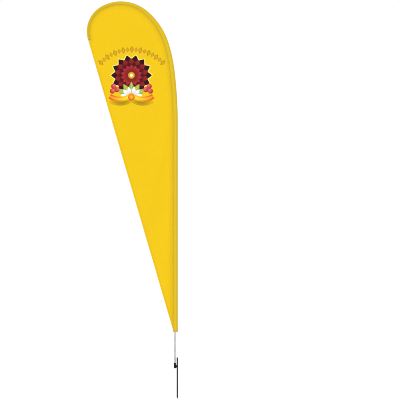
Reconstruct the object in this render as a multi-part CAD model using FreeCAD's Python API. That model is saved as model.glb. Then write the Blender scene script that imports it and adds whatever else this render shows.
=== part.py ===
"""A teardrop flag: a swivelling four-piece pole with a double-sided fabric flag, on a ground stake.

Frame: the origin is where the stake's axis crosses the ground line, +Z is up, and the flag lies
in the XZ plane with its fabric on the -X side of the pole. All sizes are in millimetres.
"""
import FreeCAD, Part

import math
import os

V = FreeCAD.Vector

# ---------------------------------------------------------------- driving dimensions
# stake
STAKE_R = 7.0
STAKE_TOP = 120.0
STAKE_POINT_Z = -291.0          # tip of the point
STAKE_POINT_LENGTH = 15.0
STAKE_POINT_R = 2.0             # blunted tip
STRIKE_CHAMFER = 1.5
DEPTH_GROOVE_R = 6.2            # marks how deep the stake is driven
DEPTH_GROOVE_WIDTH = 4.0

# the pole stands beside the stake
POLE_X = -23.5

# swivel hub, heights above the ground line
HUB_BOTTOM = 12.0
HOUSING_BOTTOM, HOUSING_TOP = 16.0, 54.0
HOUSING_R = 11.5
HUB_FLANGE_R = 12.3             # end cap and turntable
ARM_BOTTOM, ARM_TOP = 18.0, 44.0
ARM_THICKNESS = 10.0
WELD_R = 2.2
SEAL_THICKNESS, SEAL_LIP_GAP, SEAL_FLARE = 1.2, 0.3, 1.5

# deep-groove bearings, 10 x 19 x 5
BEARING_BORE_R, BEARING_OUTER_R, BEARING_WIDTH = 5.0, 9.5, 5.0
INNER_RACE_R, OUTER_RACE_R = 6.7, 7.8
BALL_PITCH_R, BALL_R, BALL_COUNT = 7.25, 1.15, 12
BALL_TRACK_R = 1.3
CAGE_HALF_THICKNESS, CAGE_HALF_HEIGHT, CAGE_POCKET_R = 0.25, 1.75, 1.25
LOWER_BEARING_Z, UPPER_BEARING_Z = 19.0, 46.0    # undersides
HOUSING_WAIST_R = 8.6           # shoulder between the two seats
SPACER_R = 6.4

# spindle
SPINDLE_END_Z = 15.5
SPINDLE_COLLAR_R = 6.0
TURNTABLE_BOTTOM = 54.6
POLE_FOOT_Z = 65.5              # top of the turntable, where the pole stands
SPIGOT_R, SPIGOT_TOP = 9.42, 190.0
SPIGOT_BORE_R, SPIGOT_BORE_BOTTOM = 6.3, 80.0
O_RING_Z = (92.0, 166.0)
O_RING_SECTION_R = 1.0
O_RING_OUTER_R = 9.48
CLIP_GROOVE_R, CLIP_GROOVE_Z, CLIP_WIDTH = 4.3, 17.8, 1.1
CLIP_PLAY, CLIP_OPENING = 0.05, 3.6

# pole: centre line from the foot up, a straight then five tangent arcs bending to -X
STRAIGHT_LENGTH = 2380.0
ARCS = ((4470.0, 6.7), (1727.0, 9.4), (670.0, 33.8), (383.0, 67.4), (271.4, 79.5))  # radius, degrees
SHORTEST_EDGE = 1e-6

# pole sections: start and end along the centre line, outer and inner radius
JOINT_OVERLAP = 100.0
SECTION_LENGTH = 1100.0
TUBE_RADII = ((11.0, 9.5), (9.4, 7.1), (7.0, 4.6))
WHIP_R, WHIP_TIP_R, WHIP_TAPER_START = 4.5, 3.0, 3500.0
COLLAR_LENGTHS = (16.0, 14.0, 12.0)
TIP_CAP_R, TIP_CAP_LENGTH = 4.6, 24.0

# flag
MOUTH_S = 310.5                 # lower end of the sleeve, along the centre line
SLEEVE_OUT = 28.5               # fold to centre line, on the straight
SLEEVE_IN = 20.0                # seam to centre line, on the straight
SLEEVE_OUT_TIP, SLEEVE_IN_TIP = 12.5, 11.0
SLEEVE_TAPER_START = 3100.0
SLEEVE_MARKS = (1100.0, 2200.0, 3100.0)     # where its taper changes
SLEEVE_HALF_THICKNESS = (13.8, 12.0, 7.0)   # at the first and second pole joints, and at the tip
SLEEVE_WALL = 1.5
FABRIC = 0.6                    # one layer of the panel
FREE_EDGE_LOW_Z = 396.0         # where the free edge meets the seam, just above the mouth
SEAM_STEP = 70.0                # between the points that shape the panel's curved edge
HEM_WIDTH, HEM_START, HEM_END = 14.0, 60.0, 36.0
MOUTH_BAND_HEIGHT = 18.0
TIP_PATCH_LENGTH = 26.0
BAND_GAP, BAND_OUTSIDE = 0.3, 1.1   # hem band and tip patch, outwards from the sleeve's skin
PATCH_ROOM = 0.3                # kept clear between the patch and the panel

# tension strap, inside the sleeve's mouth
STUD_S = 352.0
STUD_R, STUD_HEAD_R, STUD_HEIGHT = 2.0, 3.6, 5.0
STUD_HEAD_THICKNESS, STUD_TAIL_THICKNESS = 1.2, 1.8
STRAP_WIDTH, STRAP_THICKNESS, STRAP_LENGTH = 12.0, 1.4, 120.0
HOOK_LENGTH, HOOK_WIDTH, HOOK_THICKNESS, HOOK_CORNER_R = 26.0, 11.0, 2.4, 3.0
HOOK_BELOW_STUD, HOOK_GAP = 8.0, 0.2
HOOK_SLOT_ABOVE_STUD, HOOK_SLOT_HEIGHT, HOOK_SLOT_WIDTH = 11.0, 2.4, 6.0


# ---------------------------------------------------------------- centre line
def pieces_of_line():
    """The centre line as (start length, length, start point, heading, radius), radius None if straight."""
    found = [(0.0, STRAIGHT_LENGTH, V(POLE_X, 0, POLE_FOOT_Z), 0.0, None)]
    s, point, turn = STRAIGHT_LENGTH, V(POLE_X, 0, POLE_FOOT_Z + STRAIGHT_LENGTH), 0.0
    for radius, degrees in ARCS:
        angle = math.radians(degrees)
        found.append((s, radius * angle, point, turn, radius))
        point = arc_point(point, turn, radius, angle)
        s += radius * angle
        turn += angle
    return found


def inward(turn):
    """Unit vector from the centre line towards the fabric, where it has turned by that angle."""
    return V(-math.cos(turn), 0, -math.sin(turn))


def arc_point(start, turn, radius, angle):
    centre = start + inward(turn) * radius
    return centre - inward(turn + angle) * radius


LINE = pieces_of_line()
LINE_LENGTH = LINE[-1][0] + LINE[-1][1]


def at(s):
    """Point on the centre line and its turning angle, s along from the foot."""
    start_s, _, start, turn, radius = next(p for p in reversed(LINE) if s >= p[0] or p[0] == 0.0)
    if radius is None:
        return start + V(0, 0, s), 0.0
    angle = (s - start_s) / radius
    return arc_point(start, turn, radius, angle), turn + angle


def beside(s, offset):
    """Point beside the centre line; a positive offset is towards the fabric."""
    point, turn = at(s)
    return point + inward(turn) * offset


def line_wire(s0, s1):
    """The centre line from s0 to s1 as straight and arc edges."""
    edges = []
    for start_s, length, _, _, radius in LINE:
        low, high = max(s0, start_s), min(s1, start_s + length)
        if high - low < SHORTEST_EDGE:
            continue
        if radius is None:
            edges.append(Part.LineSegment(at(low)[0], at(high)[0]).toShape())
        else:
            edges.append(Part.Arc(at(low)[0], at((low + high) / 2)[0], at(high)[0]).toShape())
    return Part.Wire(edges)


# ---------------------------------------------------------------- small helpers
def turned(profile, x=POLE_X):
    """Solid of revolution about the vertical axis at x, from (radius, height) corners."""
    corners = [V(x + r, 0, z) for r, z in profile]
    face = Part.Face(Part.makePolygon(corners + corners[:1]))
    return face.revolve(V(x, 0, 0), V(0, 0, 1), 360)


def rod(x, radius, low, high):
    return Part.makeCylinder(radius, high - low, V(x, 0, low))


def ring(x, outer, inner, low, high):
    return rod(x, outer, low, high).cut(rod(x, inner, low, high))


def largest(shape):
    return max(shape.Solids, key=lambda solid: solid.Volume)


def circle_at(s, radius):
    point, turn = at(s)
    heading = V(-math.sin(turn), 0, math.cos(turn))
    return Part.Wire(Part.Circle(point, heading, radius).toShape())


def tube(s0, s1, outer, inner=None):
    """A round tube or bar along the centre line."""
    path = line_wire(s0, s1)
    solid = path.makePipeShell([circle_at(s0, outer)], True, False)
    if inner is None:
        return solid
    return solid.cut(path.makePipeShell([circle_at(s0, inner)], True, False))


def swept(section, marks):
    """A solid along the centre line whose section changes evenly from each mark to the next."""
    sweep = Part.BRepOffsetAPI.MakePipeShell(line_wire(marks[0], marks[-1]))
    sweep.setBiNormalMode(V(0, 1, 0))
    for s in marks:
        sweep.add(section(s), False, False)
    sweep.build()
    sweep.makeSolid()
    return sweep.shape()


def between(s, low_s, high_s, low, high):
    share = min(1.0, max(0.0, (s - low_s) / (high_s - low_s)))
    return low + (high - low) * share


# ---------------------------------------------------------------- stake and hub
def ground_stake():
    shoulder = STAKE_POINT_Z + STAKE_POINT_LENGTH
    return turned([
        (0, STAKE_POINT_Z), (STAKE_POINT_R, STAKE_POINT_Z), (STAKE_R, shoulder), (STAKE_R, 0),
        (DEPTH_GROOVE_R, 0), (DEPTH_GROOVE_R, DEPTH_GROOVE_WIDTH), (STAKE_R, DEPTH_GROOVE_WIDTH),
        (STAKE_R, STAKE_TOP - STRIKE_CHAMFER), (STAKE_R - STRIKE_CHAMFER, STAKE_TOP), (0, STAKE_TOP),
    ], x=0)


def arm_bar():
    """The arm's flat bar, from the stake's axis to the pole's."""
    return Part.makeBox(-POLE_X, ARM_THICKNESS, ARM_TOP - ARM_BOTTOM, V(POLE_X, -ARM_THICKNESS / 2, ARM_BOTTOM))


def bracket_arm():
    bar = arm_bar().cut(rod(0, STAKE_R, ARM_BOTTOM, ARM_TOP))
    return bar.cut(rod(POLE_X, HOUSING_R, ARM_BOTTOM, ARM_TOP))


def weld_beads():
    """Four upright beads, in the corners where the arm meets the stake and the housing."""
    beads = []
    half = ARM_THICKNESS / 2
    for x, radius, side in ((0, STAKE_R, -1), (POLE_X, HOUSING_R, 1)):
        corner_x = x + side * math.sqrt(radius ** 2 - half ** 2)
        for y in (-half, half):
            bead = Part.makeCylinder(WELD_R, ARM_TOP - ARM_BOTTOM, V(corner_x, y, ARM_BOTTOM))
            bead = bead.cut(rod(x, radius, ARM_BOTTOM, ARM_TOP)).cut(arm_bar())
            beads.append(bead.Solids[0])
    return Part.makeCompound(beads)


def bearing_housing():
    lower_seat_top = LOWER_BEARING_Z + BEARING_WIDTH
    return turned([
        (BEARING_OUTER_R, HOUSING_BOTTOM), (HOUSING_R, HOUSING_BOTTOM), (HOUSING_R, HOUSING_TOP),
        (BEARING_OUTER_R, HOUSING_TOP), (BEARING_OUTER_R, UPPER_BEARING_Z), (HOUSING_WAIST_R, UPPER_BEARING_Z),
        (HOUSING_WAIST_R, lower_seat_top), (BEARING_OUTER_R, lower_seat_top),
    ])


def housing_end_cap():
    floor, edge, well_r, spigot_top = 1.5, 0.8, 7.5, LOWER_BEARING_Z - 0.2
    return turned([
        (0, HUB_BOTTOM), (HUB_FLANGE_R - edge, HUB_BOTTOM), (HUB_FLANGE_R, HUB_BOTTOM + edge),
        (HUB_FLANGE_R, HOUSING_BOTTOM), (BEARING_OUTER_R, HOUSING_BOTTOM), (BEARING_OUTER_R, spigot_top),
        (well_r, spigot_top), (well_r, HUB_BOTTOM + floor), (0, HUB_BOTTOM + floor),
    ])


def dust_seal():
    bottom, lip_r = UPPER_BEARING_Z + BEARING_WIDTH + 0.2, SPINDLE_COLLAR_R + SEAL_LIP_GAP
    return turned([
        (lip_r, bottom + SEAL_THICKNESS), (SPINDLE_COLLAR_R + SEAL_FLARE, bottom), (BEARING_OUTER_R, bottom),
        (BEARING_OUTER_R, HOUSING_TOP), (lip_r, HOUSING_TOP),
    ])


def ball_track(z):
    """The ring-shaped track that the balls of the bearing at that height run in."""
    return Part.makeTorus(BALL_PITCH_R, BALL_TRACK_R, V(POLE_X, 0, z + BEARING_WIDTH / 2))


def outer_race(z):
    return ring(POLE_X, BEARING_OUTER_R, OUTER_RACE_R, z, z + BEARING_WIDTH).cut(ball_track(z))


def inner_race(z):
    return ring(POLE_X, INNER_RACE_R, BEARING_BORE_R, z, z + BEARING_WIDTH).cut(ball_track(z))


def ball_angles():
    return [2 * math.pi * i / BALL_COUNT for i in range(BALL_COUNT)]


def balls(z):
    middle = V(POLE_X, 0, z + BEARING_WIDTH / 2)
    outward = [V(math.cos(angle), math.sin(angle), 0) for angle in ball_angles()]
    return Part.makeCompound([Part.makeSphere(BALL_R, middle + way * BALL_PITCH_R) for way in outward])


def ball_cage(z):
    """A thin ring with a round pocket for each ball."""
    middle = z + BEARING_WIDTH / 2
    cage = ring(POLE_X, BALL_PITCH_R + CAGE_HALF_THICKNESS, BALL_PITCH_R - CAGE_HALF_THICKNESS,
                middle - CAGE_HALF_HEIGHT, middle + CAGE_HALF_HEIGHT)
    for angle in ball_angles():
        outward = V(math.cos(angle), math.sin(angle), 0)
        start = V(POLE_X, 0, middle) + outward * (BALL_PITCH_R - 2)
        cage = cage.cut(Part.makeCylinder(CAGE_POCKET_R, 4, start, outward))
    return cage


def bearing_spacer():
    return ring(POLE_X, SPACER_R, BEARING_BORE_R, LOWER_BEARING_Z + BEARING_WIDTH, UPPER_BEARING_Z)


def rotating_spindle():
    collar_bottom = UPPER_BEARING_Z + BEARING_WIDTH
    groove_top = CLIP_GROOVE_Z + CLIP_WIDTH
    edge, lead = 0.8, 3.0
    body = turned([
        (0, SPINDLE_END_Z), (BEARING_BORE_R - edge, SPINDLE_END_Z), (BEARING_BORE_R, SPINDLE_END_Z + edge),
        (BEARING_BORE_R, CLIP_GROOVE_Z), (CLIP_GROOVE_R, CLIP_GROOVE_Z), (CLIP_GROOVE_R, groove_top),
        (BEARING_BORE_R, groove_top), (BEARING_BORE_R, collar_bottom), (SPINDLE_COLLAR_R, collar_bottom),
        (SPINDLE_COLLAR_R, TURNTABLE_BOTTOM), (HUB_FLANGE_R, TURNTABLE_BOTTOM),
        (HUB_FLANGE_R, POLE_FOOT_Z - edge), (HUB_FLANGE_R - edge, POLE_FOOT_Z), (SPIGOT_R, POLE_FOOT_Z),
        (SPIGOT_R, SPIGOT_TOP - lead), (SPIGOT_R - edge * 2, SPIGOT_TOP), (SPIGOT_BORE_R, SPIGOT_TOP),
        (SPIGOT_BORE_R, SPIGOT_BORE_BOTTOM), (0, SPIGOT_BORE_BOTTOM),
    ])
    for z in O_RING_Z:
        body = body.cut(Part.makeTorus(O_RING_OUTER_R - O_RING_SECTION_R, O_RING_SECTION_R, V(POLE_X, 0, z)))
    return body


def spigot_o_rings():
    centre_r = O_RING_OUTER_R - O_RING_SECTION_R
    return Part.makeCompound([Part.makeTorus(centre_r, O_RING_SECTION_R, V(POLE_X, 0, z)) for z in O_RING_Z])


def retaining_clip():
    """A split ring in the spindle's groove, which holds it up in the bearings."""
    low, high = CLIP_GROOVE_Z + CLIP_PLAY, CLIP_GROOVE_Z + CLIP_WIDTH - CLIP_PLAY
    clip = ring(POLE_X, SPACER_R, CLIP_GROOVE_R + CLIP_PLAY, low, high)
    opening = Part.makeBox(SPACER_R, CLIP_OPENING, high - low, V(POLE_X, -CLIP_OPENING / 2, low))
    return clip.cut(opening)


# ---------------------------------------------------------------- pole
def section_span(number):
    """Where pole section 1, 2 or 3 starts and ends; all but the first plug into the one below."""
    start = (number - 1) * SECTION_LENGTH
    return (start if number == 1 else start - JOINT_OVERLAP), start + SECTION_LENGTH


def pole_section(number):
    return tube(*section_span(number), *TUBE_RADII[number - 1])


def pole_whip():
    """The solid top section: a parallel root, then a taper round the head of the flag."""
    root_start = 3 * SECTION_LENGTH - JOINT_OVERLAP
    whip_end = LINE_LENGTH - TIP_CAP_LENGTH / 2
    root = tube(root_start, WHIP_TAPER_START, WHIP_R)
    taper = swept(
        lambda s: circle_at(s, between(s, WHIP_TAPER_START, whip_end, WHIP_R, WHIP_TIP_R)),
        (WHIP_TAPER_START, whip_end),
    )
    return root.fuse(taper).removeSplitter()


def joint_collar(number):
    """The stop ring glued round the foot of the upper section, which sits on the mouth of the lower one."""
    start = number * SECTION_LENGTH
    upper_r = WHIP_R if number == 3 else TUBE_RADII[number][0]
    return tube(start, start + COLLAR_LENGTHS[number - 1], TUBE_RADII[number - 1][0], upper_r)


def pole_tip_cap(whip):
    start = LINE_LENGTH - TIP_CAP_LENGTH
    body = tube(start, LINE_LENGTH - TIP_CAP_R, TIP_CAP_R)
    dome = Part.makeSphere(TIP_CAP_R, at(LINE_LENGTH - TIP_CAP_R)[0])
    return body.fuse(dome).removeSplitter().cut(whip)


# ---------------------------------------------------------------- fabric
def sleeve_offsets(s):
    """Distance of the sleeve's seam, and of its outer fold, from the centre line."""
    seam = between(s, SLEEVE_TAPER_START, LINE_LENGTH, SLEEVE_IN, SLEEVE_IN_TIP)
    fold = between(s, SLEEVE_TAPER_START, LINE_LENGTH, SLEEVE_OUT, SLEEVE_OUT_TIP)
    return seam, fold


def sleeve_half_thickness(s):
    """The sleeve is as thick as the pole section inside it, with room to slide."""
    low, middle, tip = SLEEVE_HALF_THICKNESS
    if s < 2 * SECTION_LENGTH:
        return between(s, SECTION_LENGTH, 2 * SECTION_LENGTH, low, middle)
    return between(s, 2 * SECTION_LENGTH, LINE_LENGTH, middle, tip)


def oval(s, grow=0.0):
    """The sleeve's oval section at s, grown outwards by that much."""
    point, turn = at(s)
    seam, fold = sleeve_offsets(s)
    centre = point + inward(turn) * ((seam - fold) / 2)
    half_width, half_thickness = (seam + fold) / 2 + grow, sleeve_half_thickness(s) + grow
    ellipse = Part.Ellipse(centre + inward(turn) * half_width, centre + V(0, half_thickness, 0), centre)
    return Part.Wire(ellipse.toShape())


def oval_solid(s0, s1, grow):
    marks = [s0] + [s for s in SLEEVE_MARKS if s0 < s < s1] + [s1]
    return swept(lambda s: oval(s, grow), marks)


def oval_shell(s0, s1, outside, inside):
    """A hollow oval tube along the pole, between two growths of the sleeve's section."""
    return oval_solid(s0, s1, outside).cut(oval_solid(s0, s1, inside))


def pole_sleeve():
    return oval_shell(MOUTH_S, LINE_LENGTH, 0, -SLEEVE_WALL)


def mouth_hem_band():
    return oval_shell(MOUTH_S, MOUTH_S + MOUTH_BAND_HEIGHT, BAND_OUTSIDE, BAND_GAP)


def end_plate(grow, thickness):
    """An oval plate across the sleeve's end, as wide as the sleeve grown by that much."""
    turn = at(LINE_LENGTH)[1]
    heading = V(-math.sin(turn), 0, math.cos(turn))
    return Part.Face(oval(LINE_LENGTH, grow)).extrude(heading * thickness)


def tip_patch():
    """Closes the sleeve's end, and laps over its last stretch."""
    lap = oval_shell(LINE_LENGTH - TIP_PATCH_LENGTH, LINE_LENGTH, BAND_OUTSIDE, BAND_GAP)
    return lap.fuse(end_plate(BAND_OUTSIDE, SLEEVE_WALL)).removeSplitter()


def patch_clearance():
    """The space that the tip patch fills, with a little room all round."""
    grow = BAND_OUTSIDE + PATCH_ROOM
    lap = oval_solid(LINE_LENGTH - TIP_PATCH_LENGTH - PATCH_ROOM, LINE_LENGTH, grow)
    return lap.fuse(end_plate(grow, SLEEVE_WALL + PATCH_ROOM)).removeSplitter()


def seam_offset(s):
    """Where the panel's edge runs, a little inside the sleeve's skin."""
    return sleeve_offsets(s)[0] - SLEEVE_WALL / 2


def free_edge():
    """The panel's free edge, from just above the mouth to the outer corner of the sleeve's end."""
    low = V(POLE_X - SLEEVE_IN, 0, FREE_EDGE_LOW_Z)
    high = beside(LINE_LENGTH + SLEEVE_WALL, -SLEEVE_OUT_TIP)
    return low, high


def panel_outline():
    """The flat panel: the sleeve's seam from the low corner round the head, and the straight free edge."""
    low, high = free_edge()
    low_in_sleeve = V(low.x + SLEEVE_WALL / 2, 0, low.z)
    straight_top = beside(STRAIGHT_LENGTH, seam_offset(STRAIGHT_LENGTH))
    steps = math.ceil((LINE_LENGTH - STRAIGHT_LENGTH) / SEAM_STEP)
    marks = [STRAIGHT_LENGTH + (LINE_LENGTH - STRAIGHT_LENGTH) * i / steps for i in range(steps + 1)]
    head = Part.BSplineCurve()
    head.interpolate([beside(s, seam_offset(s)) for s in marks])
    inner_end = head.EndPoint
    return Part.Wire([
        Part.LineSegment(low_in_sleeve, straight_top).toShape(),
        head.toShape(),
        Part.LineSegment(inner_end, high).toShape(),
        Part.LineSegment(high, low).toShape(),
        Part.LineSegment(low, low_in_sleeve).toShape(),
    ])


def panel_layer(y, taken):
    """One layer of the panel, from y to y plus the fabric's thickness, cut back from the solids given."""
    face = Part.Face(panel_outline())
    face.translate(V(0, y, 0))
    layer = face.extrude(V(0, FABRIC, 0))
    for solid in taken:
        layer = layer.cut(solid)
    return largest(layer)


def edge_hem(layers):
    """The strip folded over the panel's free edge."""
    low, high = free_edge()
    along = (high - low).normalize()
    across = V(along.z, 0, -along.x)
    total = 2.5 * FABRIC
    start, end = low + along * HEM_START, high - along * HEM_END
    wrap, turned_in = across * -FABRIC, across * HEM_WIDTH
    outline = [start + wrap, end + wrap, end + turned_in, start + turned_in]
    face = Part.Face(Part.makePolygon(outline + outline[:1]))
    face.translate(V(0, -total, 0))
    strip = face.extrude(V(0, 2 * total, 0))
    for layer in layers:
        strip = strip.cut(layer)
    return largest(strip)


# ---------------------------------------------------------------- tension strap
def strap_x():
    """How far out the strap hangs, between the pole and the sleeve's fold."""
    return POLE_X + TUBE_RADII[0][0] + STUD_HEIGHT / 2


def anchor_stud():
    """A rivet through the tube's wall, whose head stands clear for the hook to slip behind."""
    outer, inner = TUBE_RADII[0]
    tail_x = POLE_X + inner - STUD_TAIL_THICKNESS
    head_x = POLE_X + outer + STUD_HEIGHT - STUD_HEAD_THICKNESS
    z = POLE_FOOT_Z + STUD_S
    shank = Part.makeCylinder(STUD_R, head_x - tail_x, V(tail_x, 0, z), V(1, 0, 0))
    head = Part.makeCylinder(STUD_HEAD_R, STUD_HEAD_THICKNESS, V(head_x, 0, z), V(1, 0, 0))
    tail = Part.makeCylinder(STUD_HEAD_R, STUD_TAIL_THICKNESS, V(tail_x, 0, z), V(1, 0, 0))
    tail = tail.common(rod(POLE_X, inner, z - STUD_HEAD_R, z + STUD_HEAD_R))
    return shank.fuse(head).fuse(tail).removeSplitter()


def strap_hook():
    """A flat plastic hook, whose keyhole slips over the stud and is pulled up against it."""
    z = POLE_FOOT_Z + STUD_S
    x = strap_x() - HOOK_THICKNESS / 2
    plate = Part.makeBox(HOOK_THICKNESS, HOOK_WIDTH, HOOK_LENGTH, V(x, -HOOK_WIDTH / 2, z - HOOK_BELOW_STUD))
    corners = [edge for edge in plate.Edges if edge.BoundBox.XLength > HOOK_THICKNESS / 2]
    corners = [edge for edge in corners if edge.BoundBox.DiagonalLength < HOOK_THICKNESS * 1.01]
    plate = plate.makeFillet(HOOK_CORNER_R, corners)
    eye = Part.makeCylinder(STUD_R + HOOK_GAP, HOOK_THICKNESS, V(x, 0, z), V(1, 0, 0))
    slot_corner = V(x, -HOOK_SLOT_WIDTH / 2, z + HOOK_SLOT_ABOVE_STUD)
    return plate.cut(eye).cut(Part.makeBox(HOOK_THICKNESS, HOOK_SLOT_WIDTH, HOOK_SLOT_HEIGHT, slot_corner))


def tension_strap():
    """Elastic webbing from the hook's bar up to where it is sewn inside the sleeve."""
    z = POLE_FOOT_Z + STUD_S + HOOK_LENGTH - HOOK_BELOW_STUD + HOOK_GAP
    x = strap_x() - STRAP_THICKNESS / 2
    return Part.makeBox(STRAP_THICKNESS, STRAP_WIDTH, STRAP_LENGTH, V(x, -STRAP_WIDTH / 2, z))


# ---------------------------------------------------------------- everything
def make_all():
    nodes = {
        "ground_stake": ground_stake(),
        "bracket_arm": bracket_arm(),
        "weld_beads": weld_beads(),
        "bearing_housing": bearing_housing(),
        "housing_end_cap": housing_end_cap(),
        "dust_seal": dust_seal(),
        "rotating_spindle": rotating_spindle(),
        "spigot_o_rings": spigot_o_rings(),
        "retaining_clip": retaining_clip(),
        "bearing_spacer": bearing_spacer(),
        "pole_sleeve": pole_sleeve(),
        "mouth_hem_band": mouth_hem_band(),
        "tip_patch": tip_patch(),
        "strap_hook": strap_hook(),
        "tension_strap": tension_strap(),
        "anchor_stud": anchor_stud(),
    }
    for place, z in (("lower", LOWER_BEARING_Z), ("upper", UPPER_BEARING_Z)):
        nodes[place + "_inner_race"] = inner_race(z)
        nodes[place + "_outer_race"] = outer_race(z)
        nodes[place + "_balls"] = balls(z)
        nodes[place + "_ball_cage"] = ball_cage(z)
    for number in (1, 2, 3):
        nodes["pole_section_%d" % number] = pole_section(number)
        nodes["joint_collar_%d" % number] = joint_collar(number)
    nodes["pole_section_1"] = nodes["pole_section_1"].cut(nodes["anchor_stud"])
    nodes["pole_section_4"] = pole_whip()
    nodes["pole_tip_cap"] = pole_tip_cap(nodes["pole_section_4"])
    taken = [oval_solid(MOUTH_S, LINE_LENGTH, 0), patch_clearance()]
    layers = {
        "front_panel": panel_layer(-1.5 * FABRIC, taken),
        "blockout_liner": panel_layer(-0.5 * FABRIC, taken),
        "back_panel": panel_layer(0.5 * FABRIC, taken),
    }
    nodes.update(layers)
    nodes["edge_hem"] = edge_hem(layers.values())
    return nodes


os.makedirs("parts", exist_ok=True)
for name, shape in sorted(make_all().items()):
    shape.exportStep("parts/%s.step" % name)
    print("%-18s valid %s  solids %d" % (name, shape.isValid(), len(shape.Solids)))
print("centre line %.1f mm, tip at %s" % (LINE_LENGTH, at(LINE_LENGTH)[0]))
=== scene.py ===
"""The looks of the teardrop flag: sewn cloth, stitches, print and finishes, round the CAD frame."""
import math

import bmesh
import bpy
import numpy as np
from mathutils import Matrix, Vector
from mathutils.geometry import delaunay_2d_cdt


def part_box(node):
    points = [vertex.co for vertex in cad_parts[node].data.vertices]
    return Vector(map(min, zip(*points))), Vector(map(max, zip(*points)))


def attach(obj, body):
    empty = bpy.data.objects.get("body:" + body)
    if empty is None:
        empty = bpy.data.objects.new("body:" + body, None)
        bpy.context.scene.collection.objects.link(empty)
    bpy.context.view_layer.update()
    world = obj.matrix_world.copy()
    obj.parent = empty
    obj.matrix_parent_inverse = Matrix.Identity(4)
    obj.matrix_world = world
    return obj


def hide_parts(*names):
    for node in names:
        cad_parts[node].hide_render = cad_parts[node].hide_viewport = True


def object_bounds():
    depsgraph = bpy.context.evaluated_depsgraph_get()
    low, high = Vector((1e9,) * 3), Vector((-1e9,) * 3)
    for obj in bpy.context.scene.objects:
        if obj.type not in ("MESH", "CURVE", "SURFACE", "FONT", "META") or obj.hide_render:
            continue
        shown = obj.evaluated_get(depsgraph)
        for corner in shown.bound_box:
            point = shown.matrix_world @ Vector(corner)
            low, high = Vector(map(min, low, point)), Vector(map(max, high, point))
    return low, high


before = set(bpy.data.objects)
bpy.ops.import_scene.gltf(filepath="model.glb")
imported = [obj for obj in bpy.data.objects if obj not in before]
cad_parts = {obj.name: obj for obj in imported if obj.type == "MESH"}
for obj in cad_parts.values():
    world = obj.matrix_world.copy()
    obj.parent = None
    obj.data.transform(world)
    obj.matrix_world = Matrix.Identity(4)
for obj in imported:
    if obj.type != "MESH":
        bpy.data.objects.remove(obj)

cad_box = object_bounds()
scene = bpy.context.scene
FLAG_BODY = "flag_and_pole"

# ---- driving dimensions, in metres
POLE_X = -0.0235
POLE_FOOT_Z = 0.0655
STRAIGHT_LENGTH = 2.380
ARCS = ((4.470, 6.7), (1.727, 9.4), (0.670, 33.8), (0.383, 67.4), (0.2714, 79.5))  # radius, degrees

MOUTH_S = 0.3105  # lower end of the sleeve, along the pole's centre line
SLEEVE_OUT, SLEEVE_OUT_TIP = 0.0285, 0.0125  # fold to centre line
SLEEVE_IN, SLEEVE_IN_TIP = 0.020, 0.011  # seam to centre line
SLEEVE_TAPER_START = 3.100
FREE_EDGE_LOW_Z = 0.396

# Where each size of what the sleeve holds ends, and its radius: three sections with their
# collars, and the fourth as far as its taper
POLE_STEPS = ((1.100 + 0.016, 0.011), (2.200 + 0.014, 0.0094), (3.300 + 0.012, 0.007),
              (3.500, 0.0045))
POLE_TIP_R, TIP_CAP_R, TIP_CAP_LENGTH = 0.003, 0.0046, 0.024

CLOTH = 0.0005  # one layer of knitted cloth
LAYER_Y = {"front": -0.0006, "liner": 0.0, "back": 0.0006}  # middle of each layer
PANEL_HALF = 0.0009  # half the thickness of the three layers together
ON_PANEL = PANEL_HALF + CLOTH + 0.0001  # outer skin of cloth that lies on the panel
LAP_WIDTH, LEAST_LAP = 0.009, 0.0008  # of the sleeve's edges, over the panel
RIDGE_ROOM = 0.0016  # from the pole to the sleeve's outer skin
SKIN_ROOM = 0.0004  # at least this from the pole to its inner skin
FOLD_HALF = 0.0004  # half the sleeve's thickness at its fold
WRINKLE_FADE = 0.004  # height above the panel where wrinkles are at their full size
HEM_WIDTH, LEAST_HEM = 0.014, 0.0006
MOUTH_BAND_HEIGHT, MOUTH_BAND_GIRTH = 0.018, 0.108
PATCH_THICKNESS = 0.0015
TIP_PATCH_LENGTH, TIP_PATCH_CUT = 0.026, (0.066, 0.031)

LATTICE = 0.014  # spacing of the panel's points
PRINT_LATTICE = 0.0075  # and inside the printed emblem
SIM_LATTICE = 0.024  # and in the simulation of its ripple
SIM_STEPS = 40
SIM_CLOTH = {"quality": 6, "mass": 0.25, "tension_stiffness": 25.0, "compression_stiffness": 25.0,
             "shear_stiffness": 12.0, "bending_stiffness": 2.0, "shrink_min": -0.004,
             "vertex_group_mass": "pin"}
SLEEVE_STEP = 0.0065  # between the sleeve's rows of points
SLEEVE_SIDE = 26  # points across each side of the sleeve
LINE_STEP = 0.006  # between the points of the seam's line, and of the hem's
RIPPLE_CAP = 0.007  # the most that the panel stands out of its plane
RIPPLE_EASE = 0.022  # simulated distance at which the cap takes hold
RIPPLE_REACH = 0.030  # over which the simulation is smoothed
RIPPLE_FADE = 0.06  # from the seam, where there is none
POINTS_AT_ONCE = 1500  # in a table of distances, to save memory

STITCH_LENGTH, STITCH_PITCH, STITCH_ROW_STEP = 0.0036, 0.0044, 0.012
THREAD = 0.00055
KNIT_PITCH = 0.0013

YELLOW = (0.715, 0.466, 0.0064)
# Painted shade: how much darker the cloth's colour is made beside the seam and at the sleeve's
# fold, where shade falls, and how far from it
PANEL_PAINTED_SHADE, VALLEY_PAINTED_SHADE = (0.10, 0.055), (0.18, 0.024)
LAP_PAINTED_SHADE, FOLD_PAINTED_SHADE = (0.08, 0.006), (0.17, 0.030)
EMBLEM = Vector((-0.459, 2.941))  # x and z of its middle
PETALS = 14
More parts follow.
